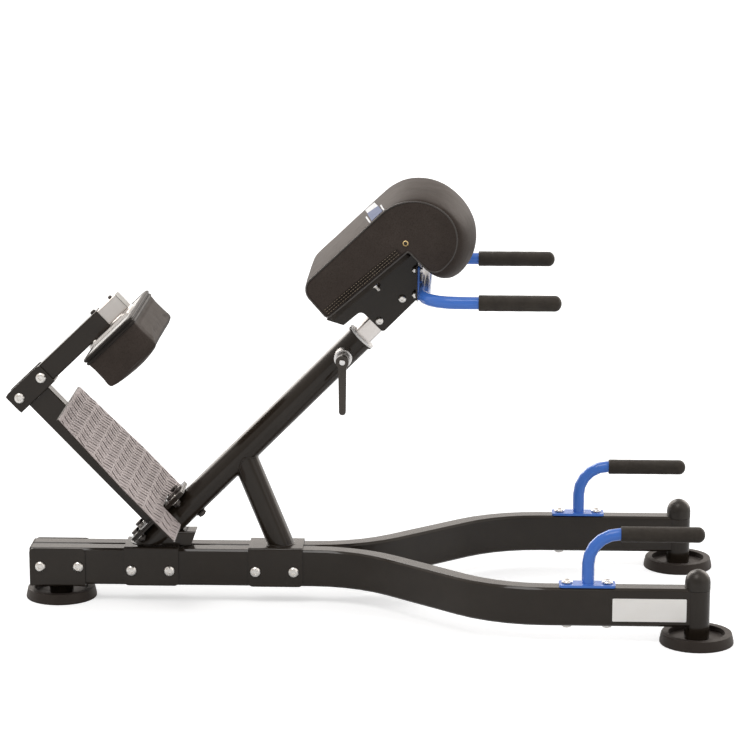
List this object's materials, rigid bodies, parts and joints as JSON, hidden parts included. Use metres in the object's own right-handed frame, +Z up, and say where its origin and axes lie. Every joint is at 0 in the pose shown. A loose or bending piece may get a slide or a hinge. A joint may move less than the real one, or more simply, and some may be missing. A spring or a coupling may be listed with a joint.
{
  "type": "hyperextension bench",
  "caption": "Free-standing 45 degree back-extension bench with a sliding hip pad on a clamped tube, a sliding ankle pad over a foot plate, and grip handles.",
  "frame": {"origin": "middle of the bench's length and width, on the floor under its feet", "axes": "+X along the bench from the ankle pad to the handles, +Y to the user's left, +Z up"},
  "size_m": [1.3252, 0.6164, 0.7818],
  "materials": {
    "black_coat": "satin powder coat, warm black",
    "blue_coat": "satin powder coat, blue",
    "bright_tube": "satin, bright plated",
    "zinc": "bright zinc plate",
    "chrome": "polished",
    "rubber": "matt",
    "grip_foam": "matt foam",
    "vinyl": "fine-grained upholstery vinyl, dark charcoal",
    "black_plastic": "fine matt",
    "white_plastic": "smooth",
    "plywood": "plywood, stained black",
    "tread": "matt, patterned"
  },
  "bodies": {
    "base_frame": {"rail_right": "black_coat", "rail_left": "black_coat", "rear_bracket": "black_coat", "main_saddle": "black_coat", "main_tube": "black_coat", "strut": "black_coat", "foot_wedge": "black_coat", "tube_plate": "black_coat", "foot_post": "black_coat", "foot_plate": "black_coat", "ankle_bracket": "black_coat", "ankle_arm": "black_coat", "rear_bolt_back": "zinc", "rear_bolt_front": "zinc", "saddle_bolt_back": "zinc", "saddle_bolt_front": "zinc", "strut_bolt_back": "zinc", "strut_bolt_front": "zinc", "base_bolt_right_back": "zinc", "base_bolt_right_front": "zinc", "base_bolt_left_back": "zinc", "base_bolt_left_front": "zinc", "post_cross_bolt": "zinc", "arm_bolt_back": "zinc", "arm_bolt_front": "zinc", "rail_plug_right": "black_plastic", "rail_plug_left": "black_plastic", "arm_plug": "black_plastic", "post_cap_right": "black_plastic", "post_cap_left": "black_plastic", "arm_set_screw": "black_plastic", "foot_rear": "rubber", "foot_right": "rubber", "foot_left": "rubber", "base_handle_right": "blue_coat", "base_handle_left": "blue_coat", "base_grip_right": "grip_foam", "base_grip_left": "grip_foam", "guide_bushing": "white_plastic", "lock_boss": "chrome", "foot_tread": "tread"},
    "hip_carriage": {"hip_tube": "bright_tube", "hip_tube_guide": "white_plastic", "hip_gusset_right": "black_coat", "hip_gusset_left": "black_coat", "gusset_bolt_back": "zinc", "gusset_bolt_front": "zinc", "hip_board": "plywood", "hip_pad": "vinyl", "hip_handle": "blue_coat", "hip_grip_right": "grip_foam", "hip_grip_left": "grip_foam"},
    "ankle_slider": {"ankle_tube": "bright_tube", "ankle_tube_cap": "black_plastic", "ankle_stop_screw": "zinc", "ankle_plate": "black_coat", "ankle_board": "white_plastic", "ankle_pad": "vinyl"},
    "clamp_lever": {"lock_screw": "chrome", "lock_lever": "black_plastic"}
  },
  "joints": [
    {"name": "hip_slide", "type": "slide", "parent": "base_frame", "child": "hip_carriage", "axis": [0.7071, 0, 0.7071], "range_m": [-0.025, 0.245]},
    {"name": "ankle_slide", "type": "slide", "parent": "base_frame", "child": "ankle_slider", "axis": [0.7242, 0, 0.6896], "range_m": [-0.028, 0.07]},
    {"name": "lock_lever_turn", "type": "hinge", "parent": "base_frame", "child": "clamp_lever", "pos_m": [-0.0391, 0, 0.46734], "axis": [0, -1, 0], "range_deg": [0, 120]}
  ]
}
